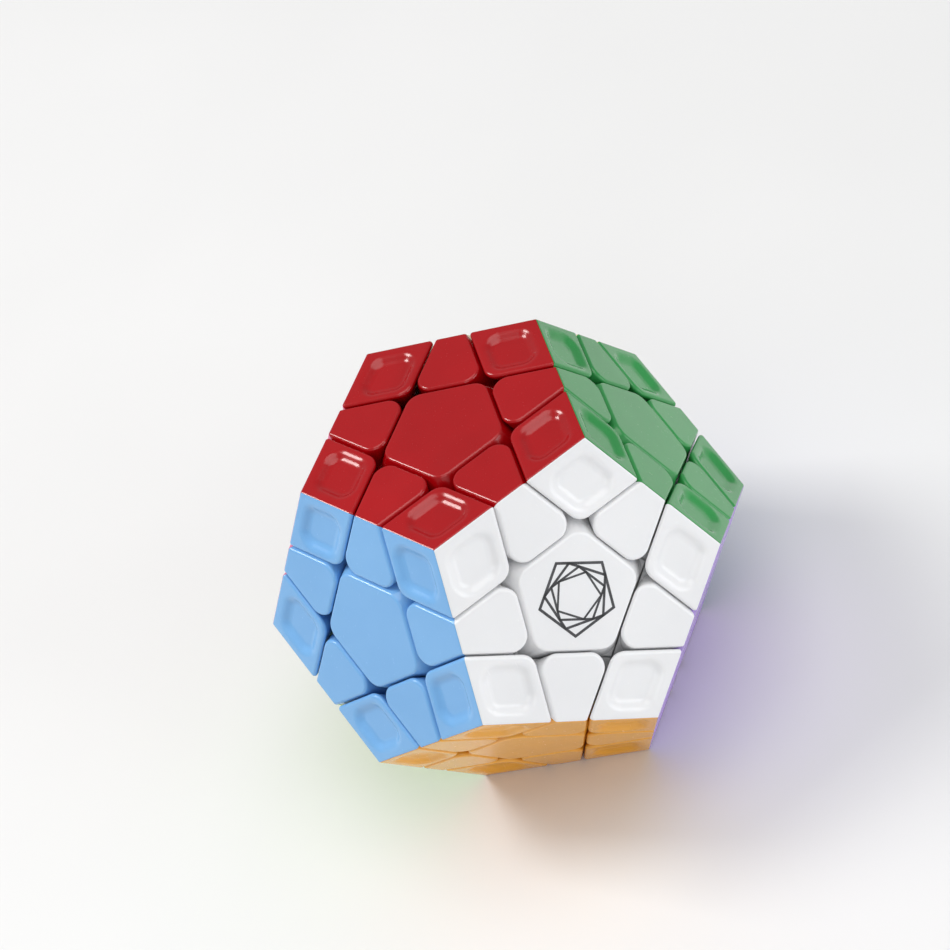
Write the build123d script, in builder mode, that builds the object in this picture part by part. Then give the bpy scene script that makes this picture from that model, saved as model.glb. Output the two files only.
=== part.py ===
"""Dodecahedron twisty puzzle: twelve spring-loaded centres on a core, thirty edges, twenty corners.

Frame: origin at the core's centre, +Z out of the red face, -Y on the white face's side.
The puzzle stands on its orange face. Lengths are millimetres, angles are degrees.

Every surface that two layers slide on is a figure of revolution about the axis of the face that
turns: a flat cut outside the seat sphere, the seat sphere itself, and a cone that undercuts it.
"""

import os
from itertools import combinations
from math import acos, atan2, cos, degrees, radians, sin, sqrt, tan

from build123d import *

# Driving dimensions: the outside
across_flats = 67.0  # between two opposite faces
corner_share = 0.41  # part of a dodecahedron edge that one corner facet covers
layer_gap = 0.25  # between a layer and whatever it turns against

# Driving dimensions: coloured shells
shell_wall = 1.2
shell_fit = 0.1  # clearance of a shell on the peg inside it, and of a cap's clip in its bore
colour_seam = 0.03  # between two shells of one piece
facet_round = 0.55  # all round each facet
corner_inner_round = 3.0
edge_inner_round = 2.2
centre_corner_round = 3.2
dish_border = 0.15  # flat strip between a corner facet's rounding and its hollow's
dish_rim = 1.3  # width of the slope down into the hollow
dish_depth = 0.85
dish_corner_round = 1.4
dish_blend = 1.8

# Driving dimensions: the feet that hold the layers together
neck_share = 0.34  # of the depth under a facet down to where three cuts meet, the neck's part
plate_share = 0.26  # and the seat plate's; the centre's cap takes the rest
foot_thickness = 2.7
foot_reach = 3.15  # how far a foot reaches past its neck
peg_height = 5.0

# Driving dimensions: the centres, their screws and springs, and the core
hub_radius = 5.6
bore_radius = 3.6
clip_length = 4.3
clip_wall = 1.1
head_clearance = 1.8  # below the cap's clip
head_radius = 2.75
head_height = 1.8
head_round = 0.6
recess_length = 3.6
recess_width = 0.8
recess_depth = 1.0
shank_radius = 1.25
shank_clearance = 0.4
thread_clearance = 0.02
thread_length = 6.0
washer_thickness = 0.5
spring_length = 4.2
spring_radius = 2.6  # to the middle of the wire
wire_radius = 0.3
spring_turns = 3.5
end_clearance = 0.05  # above and below the spring
shelf_thickness = 1.5
arm_clearance = 0.15
arm_radius = 3.2
ball_radius = 9.0

# The dodecahedron
inradius = across_flats / 2
edge_length = across_flats / sqrt((25 + 11 * sqrt(5)) / 10)
face_angle = degrees(acos(1 / sqrt(5)))  # between neighbouring face axes
vertex_angle = degrees(acos(sqrt((5 + 2 * sqrt(5)) / 15)))  # between a face axis and its vertices

# The cuts
half_gap = layer_gap / 2
cut_depth = corner_share * edge_length * sin(radians(72)) * sin(radians(face_angle))
cut_height = inradius - cut_depth
cuts_meet = cut_height / cos(radians(vertex_angle))
seat_radius = cuts_meet + neck_share * (inradius - cuts_meet)
under_seat = seat_radius - half_gap
over_seat = seat_radius + half_gap
seat_plate = plate_share * (inradius - cuts_meet)
shell_radius = over_seat + seat_plate
foot_radius = under_seat - foot_thickness
foot_angle = degrees(acos(cut_height / seat_radius) + foot_reach / seat_radius)
foot_slack = degrees(half_gap / foot_radius)

# The hollow's outline, in from the edges of a corner facet
dish_slope = atan2(dish_depth, dish_rim)
dish_margin = facet_round / tan(radians(face_angle / 2)) + dish_border + dish_blend * tan(dish_slope / 2)

# Heights along a face axis, from the cap's clip down to the core
clip_bottom = shell_radius - clip_length
head_top = clip_bottom - head_clearance
head_bottom = head_top - head_height
spring_top = head_bottom - washer_thickness - end_clearance
spring_bottom = spring_top - spring_length
shelf_top = spring_bottom - end_clearance
shelf_bottom = shelf_top - shelf_thickness
arm_reach = shelf_bottom - arm_clearance


def direction(polar, azimuth):
    """Unit vector at the polar angle from +Z and the azimuth from +X."""
    polar = radians(polar)
    azimuth = radians(azimuth)
    return Vector(sin(polar) * cos(azimuth), sin(polar) * sin(azimuth), cos(polar))


def face_axes():
    """The outward axis of each face, by colour."""
    upper_ring = ["white", "green", "cream", "pink", "sky"]
    opposites = {
        "red": "orange",
        "white": "grey",
        "green": "lime",
        "cream": "yellow",
        "pink": "purple",
        "sky": "blue",
    }
    axes = {"red": Vector(0, 0, 1)}
    for place, colour in enumerate(upper_ring):
        axes[colour] = direction(face_angle, 72 * place - 90)
    for colour, opposite in opposites.items():
        axes[opposite] = axes[colour] * -1
    return axes


axes = face_axes()
resting_face = "orange"


def are_neighbours(*colours):
    """Whether the faces all touch each other."""
    threshold = cos(radians(face_angle)) - 0.01
    return all(axes[first].dot(axes[second]) > threshold for first, second in combinations(colours, 2))


red = axes["red"]
white = axes["white"]
green = axes["green"]
sky = axes["sky"]
red_neighbours = [axes[colour] for colour in axes if colour != "red" and are_neighbours("red", colour)]


def keep_inside(axis, distance):
    """Cut away what lies further out along the axis than the distance."""
    split(bisect_by=Plane(origin=axis * distance, z_dir=axis), keep=Keep.BOTTOM)


def keep_outside(axis, distance):
    """Cut away what lies nearer than the distance along the axis."""
    split(bisect_by=Plane(origin=axis * distance, z_dir=axis), keep=Keep.TOP)


def column(layers, others, inset=0.0, facet_inset=0.0):
    """The space of one piece between the cuts of its own layers and those of the layers around it."""
    Box(2 * across_flats, 2 * across_flats, 2 * across_flats)
    for axis in layers:
        keep_outside(axis, cut_height + half_gap + inset)
        keep_inside(axis, inradius - inset - facet_inset)
    for axis in others:
        keep_inside(axis, cut_height - half_gap - inset)


def cone_about(axis, half_angle, mode):
    """Join, cut or intersect with a cone that opens outwards along the axis from the origin."""
    height = shell_radius + 1
    with Locations(Plane(origin=(0, 0, 0), z_dir=axis)):
        Cone(
            bottom_radius=0,
            top_radius=height * tan(radians(half_angle)),
            height=height,
            align=(Align.CENTER, Align.CENTER, Align.MIN),
            mode=mode,
        )


def lies_on(edge, axis, distance):
    """Whether the whole edge lies in the plane at the distance along the axis."""
    return all(abs(axis.dot(edge @ place) - distance) < 0.0001 for place in (0, 0.5, 1))


def round_block(block, layers, others, inner_round):
    """Round the groove walls' upright corners, then the outlines of all the facets."""

    def walls_at(edge):
        own = sum(lies_on(edge, axis, cut_height + half_gap) for axis in layers)
        return own + sum(lies_on(edge, axis, cut_height - half_gap) for axis in others)

    def bounds_facet(edge):
        return any(lies_on(edge, axis, inradius) for axis in layers)

    def reaches_out(edge):
        return max((edge @ 0).length, (edge @ 1).length) > inradius

    fillet([edge for edge in block.edges() if walls_at(edge) == 2 and reaches_out(edge)], inner_round)
    fillet([edge for edge in block.edges() if bounds_facet(edge)], facet_round)


# Corner: three shells of one colour each on a foot that three layers share
corner_layers = [red, white, green]

with BuildPart() as corner_cavity:
    column(corner_layers, [], inset=shell_wall, facet_inset=dish_depth)

with BuildPart() as plain_corner_shell:
    column(corner_layers, [])
    round_block(plain_corner_shell, corner_layers, [], corner_inner_round)
    Sphere(shell_radius, mode=Mode.SUBTRACT)
    add(corner_cavity.part, mode=Mode.SUBTRACT)
    for neighbour in (white, green):
        keep_outside((red - neighbour).normalized(), colour_seam / 2)

corner_way = direction(90, -54)
vertex = corner_way * (inradius * tan(radians(vertex_angle)))
groove_corner = corner_way * (
    (cut_height + half_gap - inradius * cos(radians(face_angle)))
    / (sin(radians(face_angle)) * cos(radians(36)))
)
facet_middle = (vertex + groove_corner) / 2
facet_half_width = corner_way.cross(red) * ((vertex - groove_corner).length / 2 * tan(radians(54)))


def facet_outline(inset, corner_round):
    """Face of the corner facet's rhombus, drawn in by the inset, with rounded corners."""
    with BuildLine() as outline:
        Polyline(
            vertex,
            facet_middle + facet_half_width,
            groove_corner,
            facet_middle - facet_half_width,
            close=True,
        )
    make_face(outline.edges())
    offset(amount=-inset, kind=Kind.INTERSECTION)
    fillet(vertices(), corner_round)


with BuildPart() as corner_dish:
    with BuildSketch(Plane.XY.offset(inradius)):
        facet_outline(dish_margin, dish_corner_round + dish_rim)
    with BuildSketch(Plane.XY.offset(inradius - dish_depth)):
        facet_outline(dish_margin + dish_rim, dish_corner_round)
    loft(ruled=True)
    fillet(corner_dish.edges().group_by(Axis.Z)[0], dish_blend)

with BuildPart() as corner_shell:
    add(plain_corner_shell.part)
    add(corner_dish.part, mode=Mode.SUBTRACT)
    fillet(corner_shell.faces().sort_by(Axis.Z)[-1].inner_wires()[0].edges(), dish_blend)

with BuildPart() as corner_peg:
    column(corner_layers, [], inset=shell_wall + shell_fit, facet_inset=dish_depth)
    Sphere(shell_radius + peg_height, mode=Mode.INTERSECT)

with BuildPart() as corner_plate:
    column(corner_layers, [])
    Sphere(shell_radius, mode=Mode.INTERSECT)

with BuildPart() as corner_foot:
    Sphere(under_seat)
    for layer in corner_layers:
        cone_about(layer, foot_angle - foot_slack, Mode.INTERSECT)
    Sphere(foot_radius, mode=Mode.SUBTRACT)
    add(corner_plate.part)
    add(corner_peg.part)

# Edge: two shells on a foot that two layers share
edge_layers = [red, white]
edge_ends = [green, sky]

with BuildPart() as edge_cavity:
    column(edge_layers, edge_ends, inset=shell_wall)

with BuildPart() as edge_shell:
    column(edge_layers, edge_ends)
    round_block(edge_shell, edge_layers, edge_ends, edge_inner_round)
    Sphere(shell_radius, mode=Mode.SUBTRACT)
    add(edge_cavity.part, mode=Mode.SUBTRACT)
    keep_outside((red - white).normalized(), colour_seam / 2)

with BuildPart() as edge_peg:
    column(edge_layers, edge_ends, inset=shell_wall + shell_fit)
    Sphere(shell_radius + peg_height, mode=Mode.INTERSECT)
    Sphere(over_seat + seat_plate / 2, mode=Mode.SUBTRACT)

with BuildPart() as edge_plate:
    column(edge_layers, edge_ends)
    Sphere(shell_radius, mode=Mode.INTERSECT)
    Sphere(over_seat, mode=Mode.SUBTRACT)

with BuildPart() as edge_neck:
    column(edge_layers, edge_ends)
    Sphere(over_seat + seat_plate / 2, mode=Mode.INTERSECT)
    for end in edge_ends:
        cone_about(end, foot_angle + foot_slack, Mode.SUBTRACT)

with BuildPart() as edge_foot:
    Sphere(under_seat)
    for layer in edge_layers:
        cone_about(layer, foot_angle - foot_slack, Mode.INTERSECT)
    for end in edge_ends:
        cone_about(end, foot_angle + foot_slack, Mode.SUBTRACT)
    Sphere(foot_radius, mode=Mode.SUBTRACT)
    add(edge_neck.part)
    add(edge_plate.part)
    add(edge_peg.part)

# Centre: a base that turns on the core's arm, and the coloured cap clipped into it
with BuildPart() as centre_base:
    column([red], red_neighbours)
    Sphere(over_seat, mode=Mode.SUBTRACT)
    with BuildSketch(Plane.XY.offset(shelf_bottom)):
        Circle(hub_radius)
    extrude(amount=inradius - shelf_bottom)
    Sphere(shell_radius, mode=Mode.INTERSECT)
    with BuildSketch(Plane.XY.offset(shelf_top)):
        Circle(bore_radius)
    extrude(amount=inradius - shelf_top, mode=Mode.SUBTRACT)
    with BuildSketch(Plane.XY.offset(shelf_bottom)):
        Circle(shank_radius + shank_clearance)
    extrude(amount=shelf_thickness, mode=Mode.SUBTRACT)

with BuildPart() as centre_cap:
    column([red], red_neighbours)
    round_block(centre_cap, [red], red_neighbours, centre_corner_round)
    Sphere(shell_radius, mode=Mode.SUBTRACT)
    with BuildSketch(Plane.XY.offset(clip_bottom)):
        Circle(bore_radius - shell_fit)
        Circle(bore_radius - shell_fit - clip_wall, mode=Mode.SUBTRACT)
    extrude(until=Until.NEXT)

# Screw, washer and spring on the red face's axis
with BuildPart() as screw:
    with BuildSketch(Plane.XY.offset(head_bottom)):
        Circle(head_radius)
    extrude(amount=head_height)
    fillet(screw.edges().group_by(Axis.Z)[-1], head_round)
    with BuildSketch(Plane.XY.offset(head_top)):
        Rectangle(recess_length, recess_width)
        Rectangle(recess_width, recess_length)
    extrude(amount=-recess_depth, mode=Mode.SUBTRACT)
    with BuildSketch(Plane.XY.offset(head_bottom)):
        Circle(shank_radius)
    extrude(amount=arm_reach - thread_length - head_bottom)

with BuildPart() as washer:
    with BuildSketch(Plane.XY.offset(head_bottom)):
        Circle(head_radius)
        Circle(shank_radius + shank_clearance / 2, mode=Mode.SUBTRACT)
    extrude(amount=-washer_thickness)

with BuildPart() as spring:
    with BuildLine() as coil:
        Helix(
            pitch=(spring_length - 2 * wire_radius) / spring_turns,
            height=spring_length - 2 * wire_radius,
            radius=spring_radius,
            center=(0, 0, spring_bottom + wire_radius),
        )
    with BuildSketch(Plane(origin=coil.line @ 0, z_dir=coil.line % 0)):
        Circle(wire_radius)
    sweep()

# Core: a ball with an arm for each face
with BuildPart() as core:
    Sphere(ball_radius)
    for axis in axes.values():
        with BuildSketch(Plane(origin=(0, 0, 0), z_dir=axis)):
            Circle(arm_radius)
        extrude(amount=arm_reach)
    for axis in axes.values():
        with BuildSketch(Plane(origin=axis * arm_reach, z_dir=axis)):
            Circle(shank_radius + thread_clearance)
        extrude(amount=-thread_length - thread_clearance, mode=Mode.SUBTRACT)


def facing(first, second):
    """Where a piece made for the red and white faces goes to serve these two."""
    return Plane(origin=(0, 0, 0), x_dir=axes[first].cross(axes[second]), z_dir=axes[first]).location


def placed(piece, first, second, label):
    """A labelled copy of the piece, turned to the two faces."""
    copy = piece.part.moved(facing(first, second))
    copy.label = label
    return copy


def a_neighbour(colour):
    """Any face that touches this one."""
    return next(other for other in axes if other != colour and are_neighbours(colour, other))


def counterclockwise(first, second, third):
    """The three faces in counterclockwise order about their shared vertex, seen from outside."""
    if axes[first].cross(axes[second]).dot(axes[third]) > 0:
        return first, second, third
    return first, third, second


def edge_pieces(first, second):
    """The foot and the two shells of the edge between the faces."""
    return [
        placed(edge_foot, first, second, "edge_foot"),
        placed(edge_shell, first, second, f"{first}_shell"),
        placed(edge_shell, second, first, f"{second}_shell"),
    ]


def corner_pieces(first, second, third):
    """The foot and the three shells of the corner between the faces."""
    ring = counterclockwise(first, second, third)
    pieces = [placed(corner_foot, ring[0], ring[1], "corner_foot")]
    for place, colour in enumerate(ring):
        pieces.append(placed(corner_shell, colour, ring[(place + 1) % 3], f"{colour}_shell"))
    return pieces


def write_node(name, solids):
    """Write the solids of one node as one STEP file."""
    node = Compound(label=name, children=solids)
    export_step(node, f"parts/{name}.step")


os.makedirs("parts", exist_ok=True)

core.part.label = "core"
export_step(core.part, "parts/core.step")

fasteners = []
springs = []
for colour in axes:
    towards = a_neighbour(colour)
    fasteners.append(placed(screw, colour, towards, f"{colour}_screw"))
    fasteners.append(placed(washer, colour, towards, f"{colour}_washer"))
    springs.append(placed(spring, colour, towards, f"{colour}_spring"))
    base = placed(centre_base, colour, towards, f"{colour}_base")
    cap = placed(centre_cap, colour, towards, f"{colour}_cap")
    write_node(f"centre_{colour}", [base, cap])
write_node("centre_screws_and_washers", fasteners)
write_node("centre_springs", springs)

# The corners of the face it stands on share a node with the edge beside them
for first, second in combinations(axes, 2):
    if not are_neighbours(first, second):
        continue
    if resting_face not in (first, second) and are_neighbours(first, second, resting_face):
        pieces = edge_pieces(first, second) + corner_pieces(first, second, resting_face)
        write_node(f"edge_{first}_{second}_and_corner_{resting_face}", pieces)
    else:
        write_node(f"edge_{first}_{second}", edge_pieces(first, second))

for trio in combinations(axes, 3):
    if are_neighbours(*trio) and resting_face not in trio:
        write_node("corner_" + "_".join(trio), corner_pieces(*trio))
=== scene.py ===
"""Looks of the dodecahedron twisty puzzle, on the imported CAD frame. Metres, in the CAD's own frame."""

import math

import bmesh
import bpy
from mathutils import Matrix, Vector


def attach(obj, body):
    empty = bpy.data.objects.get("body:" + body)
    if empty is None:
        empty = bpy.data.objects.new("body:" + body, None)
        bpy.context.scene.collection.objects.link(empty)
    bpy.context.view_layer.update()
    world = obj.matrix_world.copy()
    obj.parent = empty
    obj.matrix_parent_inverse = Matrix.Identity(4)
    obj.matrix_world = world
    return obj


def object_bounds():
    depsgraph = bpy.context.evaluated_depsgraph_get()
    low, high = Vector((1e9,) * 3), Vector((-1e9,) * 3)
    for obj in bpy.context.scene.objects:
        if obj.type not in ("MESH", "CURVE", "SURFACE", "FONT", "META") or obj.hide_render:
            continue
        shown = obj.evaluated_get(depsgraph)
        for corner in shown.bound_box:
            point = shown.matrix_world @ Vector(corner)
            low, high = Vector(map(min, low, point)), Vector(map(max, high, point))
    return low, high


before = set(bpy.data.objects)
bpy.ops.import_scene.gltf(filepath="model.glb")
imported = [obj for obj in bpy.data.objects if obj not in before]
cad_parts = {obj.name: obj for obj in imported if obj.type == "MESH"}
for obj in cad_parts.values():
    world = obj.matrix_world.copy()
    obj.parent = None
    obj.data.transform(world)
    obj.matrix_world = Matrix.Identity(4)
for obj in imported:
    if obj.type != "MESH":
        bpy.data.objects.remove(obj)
cad_low, cad_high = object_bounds()

MM = 0.001

# The dodecahedron, from the CAD box: it stands on one face, with the opposite face on top
inradius = (cad_high.z - cad_low.z) / 2
centre = (cad_low + cad_high) / 2
face_angle = math.acos(1 / math.sqrt(5))
edge_length = 2 * inradius / math.sqrt((25 + 11 * math.sqrt(5)) / 10)

# Inside this distance from the centre a piece is bare structural plastic, outside it is coloured
coloured_from = 0.912 * inradius

# Face colours (linear RGB): the darkest and the lightest shade that each plastic drifts between
SHADES = {
    "red": ((0.350, 0.001, 0.003), (0.420, 0.002, 0.005)),
    "white": ((0.850, 0.850, 0.858), (0.900, 0.900, 0.905)),
    "green": ((0.030, 0.270, 0.065), (0.038, 0.320, 0.080)),
    "cream": ((0.800, 0.700, 0.430), (0.860, 0.760, 0.490)),
    "pink": ((0.800, 0.230, 0.400), (0.860, 0.280, 0.450)),
    "sky": ((0.190, 0.450, 0.810), (0.220, 0.495, 0.860)),
    "orange": ((0.850, 0.230, 0.020), (0.900, 0.270, 0.030)),
    "grey": ((0.250, 0.255, 0.265), (0.290, 0.295, 0.305)),
    "lime": ((0.380, 0.650, 0.060), (0.430, 0.710, 0.080)),
    "yellow": ((0.820, 0.375, 0.035), (0.880, 0.425, 0.050)),
    "purple": ((0.420, 0.270, 0.720), (0.470, 0.310, 0.780)),
    "blue": ((0.020, 0.080, 0.420), (0.025, 0.100, 0.480)),
}

# The camera, as seen from the puzzle's centre
camera_azimuth = math.radians(-12.385)
camera_elevation = math.radians(46.489)
camera_roll = math.radians(-27.9)
camera_distance = 15.42 * edge_length
camera_lens = 102.8
look_right = -0.198 * edge_length  # the optical axis passes the centre on this side
look_up = 0.450 * edge_length


def face_axes():
    """The outward axis of each face, by colour."""
    upper_ring = ["white", "green", "cream", "pink", "sky"]
    opposites = {"red": "orange", "white": "grey", "green": "lime"}
    opposites.update({"cream": "yellow", "pink": "purple", "sky": "blue"})
    axes = {"red": Vector((0, 0, 1))}
    for place, colour in enumerate(upper_ring):
        turn = math.radians(72 * place - 90)
        reach = math.sin(face_angle)
        axes[colour] = Vector((reach * math.cos(turn), reach * math.sin(turn), math.cos(face_angle)))
    for colour, opposite in opposites.items():
        axes[opposite] = -axes[colour]
    return axes


AXES = face_axes()


# Node graphs

NOISE_LOW = 0.3  # most of a noise texture's values lie between these two
NOISE_HIGH = 0.7


def new_material(name):
    """A material with an empty graph but for its Principled shader and output."""
    material = bpy.data.materials.new(name)
    material.use_nodes = True
    nodes = material.node_tree.nodes
    nodes.clear()
    shader = nodes.new("ShaderNodeBsdfPrincipled")
    output = nodes.new("ShaderNodeOutputMaterial")
    material.node_tree.links.new(shader.outputs["BSDF"], output.inputs["Surface"])
    return material, shader


def noise(material, scale, detail, roughness=0.55):
    """Noise that rides with the object: scale is in features per metre."""
    nodes = material.node_tree.nodes
    place = nodes.new("ShaderNodeTexCoord")
    texture = nodes.new("ShaderNodeTexNoise")
    texture.inputs["Scale"].default_value = scale
    texture.inputs["Detail"].default_value = detail
    texture.inputs["Roughness"].default_value = roughness
    material.node_tree.links.new(place.outputs["Object"], texture.inputs["Vector"])
    return texture.outputs["Fac"]


def ramp(material, factor, low, high):
    """Maps a noise factor on to a colour between two."""
    node = material.node_tree.nodes.new("ShaderNodeValToRGB")
    node.color_ramp.elements[0].position = NOISE_LOW
    node.color_ramp.elements[0].color = (*low, 1)
    node.color_ramp.elements[1].position = NOISE_HIGH
    node.color_ramp.elements[1].color = (*high, 1)
    material.node_tree.links.new(factor, node.inputs["Fac"])
    return node.outputs["Color"]


def level(material, factor, low, high, start=NOISE_LOW, end=NOISE_HIGH):
    """Maps a noise factor on to a number between two."""
    node = material.node_tree.nodes.new("ShaderNodeMapRange")
    node.inputs["From Min"].default_value = start
    node.inputs["From Max"].default_value = end
    node.inputs["To Min"].default_value = low
    node.inputs["To Max"].default_value = high
    material.node_tree.links.new(factor, node.inputs["Value"])
    return node.outputs["Result"]


def bump(material, factor, height, under=None):
    """A bump of the height in metres, on top of another if one is given."""
    node = material.node_tree.nodes.new("ShaderNodeBump")
    node.inputs["Strength"].default_value = 1
    node.inputs["Distance"].default_value = height
    material.node_tree.links.new(factor, node.inputs["Height"])
    if under is not None:
        material.node_tree.links.new(under, node.inputs["Normal"])
    return node.outputs["Normal"]


def combine(material, operation, first, second):
    """One number from two."""
    node = material.node_tree.nodes.new("ShaderNodeMath")
    node.operation = operation
    material.node_tree.links.new(first, node.inputs[0])
    material.node_tree.links.new(second, node.inputs[1])
    return node.outputs["Value"]


def scratches(material):
    """Roughness of hair-thin rubbed lines that cross in two directions, and nothing between them."""
    nodes = material.node_tree.nodes
    link = material.node_tree.links.new
    place = nodes.new("ShaderNodeTexCoord")
    crossings = []
    for turn in ((0.3, 0.5, 0.9), (1.2, -0.4, -0.7)):
        stretch = nodes.new("ShaderNodeMapping")
        stretch.inputs["Rotation"].default_value = turn
        stretch.inputs["Scale"].default_value = (2600, 2600, 90)
        link(place.outputs["Object"], stretch.inputs["Vector"])
        streaks = nodes.new("ShaderNodeTexNoise")
        streaks.inputs["Scale"].default_value = 1
        streaks.inputs["Detail"].default_value = 2
        link(stretch.outputs["Vector"], streaks.inputs["Vector"])
        crossings.append(level(material, streaks.outputs["Fac"], 0, 0.30, 0.68, 0.74))
    return combine(material, "MAXIMUM", *crossings)


def coloured_plastic(colour):
    """Polished moulded plastic: colour that drifts a little, flow marks and fine rubbed scratches."""
    dark, light = SHADES[colour]
    material, shader = new_material(f"{colour}_plastic")
    link = material.node_tree.links.new
    drift = noise(material, 45, 3)
    link(ramp(material, drift, dark, light), shader.inputs["Base Color"])
    smears = noise(material, 160, 6, 0.65)
    rubbed = scratches(material)
    worn = combine(material, "MAXIMUM", level(material, smears, 0.14, 0.25), rubbed)
    link(worn, shader.inputs["Roughness"])
    flow = bump(material, noise(material, 220, 2), 0.000004)
    grain = bump(material, noise(material, 5200, 3), 0.0000012, under=flow)
    link(grain, shader.inputs["Normal"])
    shader.inputs["IOR"].default_value = 1.49
    shader.inputs["Coat Weight"].default_value = 0.12
    shader.inputs["Coat Roughness"].default_value = 0.08
    shader.inputs["Subsurface Weight"].default_value = 0.06
    shader.inputs["Subsurface Radius"].default_value = (0.0012, 0.0010, 0.0008)
    shader.inputs["Subsurface Scale"].default_value = 1.0
    return material


def structural_plastic():
    """Unpolished light grey plastic of the feet, hubs and core."""
    material, shader = new_material("structural_plastic")
    link = material.node_tree.links.new
    drift = noise(material, 70, 3)
    link(ramp(material, drift, (0.42, 0.42, 0.43), (0.52, 0.52, 0.53)), shader.inputs["Base Color"])
    link(level(material, noise(material, 400, 5), 0.38, 0.55), shader.inputs["Roughness"])
    link(bump(material, noise(material, 3000, 3), 0.000004), shader.inputs["Normal"])
    return material


def metal(name, dark, light, low, high):
    """Drawn or turned steel with fine marks and uneven sheen."""
    material, shader = new_material(name)
    link = material.node_tree.links.new
    link(ramp(material, noise(material, 600, 4), dark, light), shader.inputs["Base Color"])
    link(level(material, noise(material, 1500, 5), low, high), shader.inputs["Roughness"])
    link(bump(material, noise(material, 4000, 4), 0.000004), shader.inputs["Normal"])
    shader.inputs["Metallic"].default_value = 1.0
    return material


def printed_ink():
    """Dark grey pad-printed ink, slightly uneven."""
    material, shader = new_material("printed_ink")
    link = material.node_tree.links.new
    drift = noise(material, 900, 5)
    ink = ramp(material, drift, (0.045, 0.045, 0.048), (0.085, 0.085, 0.090))
    link(ink, shader.inputs["Base Color"])
    link(level(material, noise(material, 2500, 4), 0.30, 0.45), shader.inputs["Roughness"])
    link(bump(material, noise(material, 6000, 3), 0.000002), shader.inputs["Normal"])
    return material


PLASTICS = {colour: coloured_plastic(colour) for colour in SHADES}
STRUCTURE = structural_plastic()


# CAD nodes


def set_materials(piece, materials):
    piece.data.materials.clear()
    for material in materials:
        piece.data.materials.append(material)


def colour_by_face(piece):
    """Give each polygon the plastic of the face it lies under, or the bare plastic if it lies deep."""
    colours = [colour for colour in AXES if colour in piece.name.split("_")]
    set_materials(piece, [*(PLASTICS[colour] for colour in colours), STRUCTURE])
    for polygon in piece.data.polygons:
        place = polygon.center - centre
        if place.length < coloured_from:
            polygon.material_index = len(colours)
            continue
        nearest = max(colours, key=lambda colour: AXES[colour].dot(place))
        polygon.material_index = colours.index(nearest)


def finish_cad_nodes():
    """Materials for everything that the CAD made."""
    steel = metal("screw_steel", (0.45, 0.45, 0.47), (0.62, 0.62, 0.64), 0.22, 0.38)
    wire = metal("spring_steel", (0.28, 0.28, 0.30), (0.42, 0.42, 0.44), 0.25, 0.42)
    special = {"core": STRUCTURE, "centre_screws_and_washers": steel, "centre_springs": wire}
    for name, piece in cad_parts.items():
        if name in special:
            set_materials(piece, [special[name]])
        else:
            colour_by_face(piece)


# The emblem on the white centre: pentagons that turn as they shrink


def emblem():
    """A whirl of thin pentagon outlines, printed flat on the white centre's cap."""
    normal = AXES["white"]
    up = (AXES["red"] - normal * AXES["red"].dot(normal)).normalized()
    right = up.cross(normal)
    outer_radius = 6.9 * MM
    line_width = 0.46 * MM
    thickness = 0.02 * MM
    lift = 0.004 * MM
    turn = math.radians(18)
    count = 4
    thinning = 0.09  # of the line's width, from each pentagon to the next
    side_angle = math.radians(72)
    half_side = math.radians(36)
    shrink = math.cos(half_side) / math.cos(half_side - turn)

    def point(radius, angle, height):
        plane = right * (radius * math.sin(angle)) + up * (radius * math.cos(angle))
        return centre + plane + normal * (inradius + lift + height)

    shape = bmesh.new()
    for ring in range(count):
        radius = outer_radius * shrink**ring
        inner = radius - line_width / math.cos(half_side) * (1 - thinning * ring)
        angles = [ring * turn + side_angle * side for side in range(5)]
        loops = [
            [shape.verts.new(point(size, angle, height)) for angle in angles]
            for size, height in ((radius, 0), (radius, thickness), (inner, thickness), (inner, 0))
        ]
        for place, loop in enumerate(loops):
            following = loops[(place + 1) % len(loops)]
            for side in range(5):
                after = (side + 1) % 5
                shape.faces.new((loop[side], loop[after], following[after], following[side]))
    bmesh.ops.recalc_face_normals(shape, faces=shape.faces)
    mesh = bpy.data.meshes.new("white_centre_emblem")
    shape.to_mesh(mesh)
    shape.free()
    mark = bpy.data.objects.new("white_centre_emblem", mesh)
    bpy.context.scene.collection.objects.link(mark)
    mark.data.materials.append(printed_ink())
    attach(mark, "white_centre")


# Stage


def camera_axes():
    """Right, up and backward directions of the camera."""
    across = math.cos(camera_elevation)
    back = Vector(
        (
            math.sin(camera_azimuth) * across,
            -math.cos(camera_azimuth) * across,
            math.sin(camera_elevation),
        )
    )
    level_right = Vector((0, 0, 1)).cross(back).normalized()
    turned = Matrix.Rotation(camera_roll, 3, back)
    right = turned @ level_right
    return right, back.cross(right), back


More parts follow.
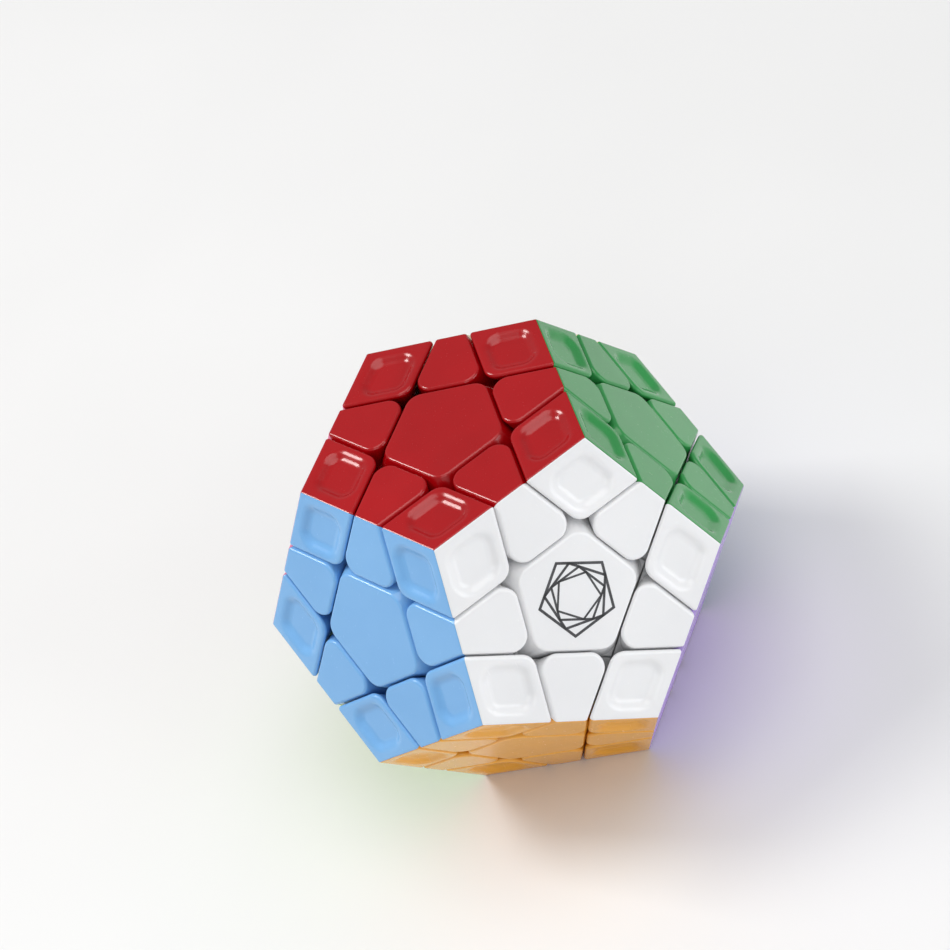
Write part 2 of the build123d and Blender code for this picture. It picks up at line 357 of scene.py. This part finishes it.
def add_camera():
    right, up, back = camera_axes()
    data = bpy.data.cameras.new("camera")
    data.lens = camera_lens
    data.sensor_width = 36
    data.clip_start = 0.01
    data.clip_end = 20
    camera = bpy.data.objects.new("camera", data)
    camera.location = centre + back * camera_distance
    aim = centre + right * look_right + up * look_up
    axis = (camera.location - aim).normalized()
    level_up = (up - axis * up.dot(axis)).normalized()
    camera.rotation_euler = Matrix((level_up.cross(axis), level_up, axis)).transposed().to_euler()
    bpy.context.scene.collection.objects.link(camera)
    bpy.context.scene.camera = camera


def add_area_light(name, where, size, power, colour):
    """A square soft light that shines at the puzzle from a place given in the camera's own axes."""
    right, up, back = camera_axes()
    data = bpy.data.lights.new(name, "AREA")
    data.size = size
    data.energy = power
    data.color = colour
    light = bpy.data.objects.new(name, data)
    light.location = centre + right * where[0] + up * where[1] + back * where[2]
    light.rotation_euler = (light.location - centre).to_track_quat("Z", "Y").to_euler()
    bpy.context.scene.collection.objects.link(light)


def add_stage():
    """A pale floor, a pale surround and four soft lights."""
    floor_size = 6  # metres, wide enough to fill the background
    bpy.ops.mesh.primitive_plane_add(size=floor_size, location=(centre.x, centre.y, cad_low.z))
    floor = bpy.context.object
    floor.name = "floor"
    material, shader = new_material("floor")
    link = material.node_tree.links.new
    tint = ramp(material, noise(material, 6, 3), (0.80, 0.80, 0.80), (0.84, 0.84, 0.84))
    link(tint, shader.inputs["Base Color"])
    shader.inputs["Roughness"].default_value = 0.6
    floor.data.materials.append(material)
    add_area_light("key", (-0.80, 0.44, 0.29), 0.30, 4.4, (1.0, 0.98, 0.95))
    add_area_light("top", (-0.15, 0.60, 0.75), 0.80, 3.8, (1.0, 0.99, 0.97))
    add_area_light("fill", (0.75, 0.10, 0.60), 0.60, 2.7, (0.95, 0.97, 1.0))
    add_area_light("front", (-0.10, -0.25, 0.90), 0.50, 1.1, (1.0, 1.0, 1.0))
    world = bpy.data.worlds.new("surround")
    world.use_nodes = True
    world.node_tree.nodes["Background"].inputs["Color"].default_value = (0.90, 0.92, 0.95, 1)
    world.node_tree.nodes["Background"].inputs["Strength"].default_value = 0.38
    bpy.context.scene.world = world
    bpy.context.scene.view_settings.view_transform = "Standard"


finish_cad_nodes()
emblem()
add_camera()
add_stage()

bpy.context.view_layer.update()
